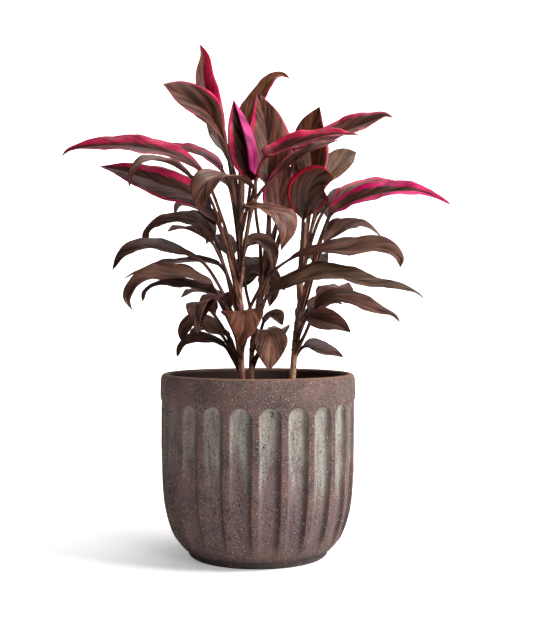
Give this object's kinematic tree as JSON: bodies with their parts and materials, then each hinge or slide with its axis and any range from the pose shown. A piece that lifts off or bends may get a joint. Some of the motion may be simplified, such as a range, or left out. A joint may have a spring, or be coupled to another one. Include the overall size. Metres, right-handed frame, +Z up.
{
  "type": "potted red ti plant",
  "caption": "Red-margined ti plant with arching lance-shaped leaves on three canes, standing in potting soil in a round fluted clay pot with a plain collar.",
  "frame": {"origin": "middle of the pot's flat underside", "axes": "+Z up along the pot's axis, -Y towards the front of the plant"},
  "size_m": [0.6568, 0.3949, 0.893],
  "materials": {
    "clay": "matte",
    "soil": "matte",
    "leaf": "satin"
  },
  "bodies": {
    "root": {"pot": "clay", "potting_soil": "soil", "leafy_cane_left": "leaf", "leafy_cane_middle": "leaf", "leafy_cane_right": "leaf"}
  },
  "joints": []
}
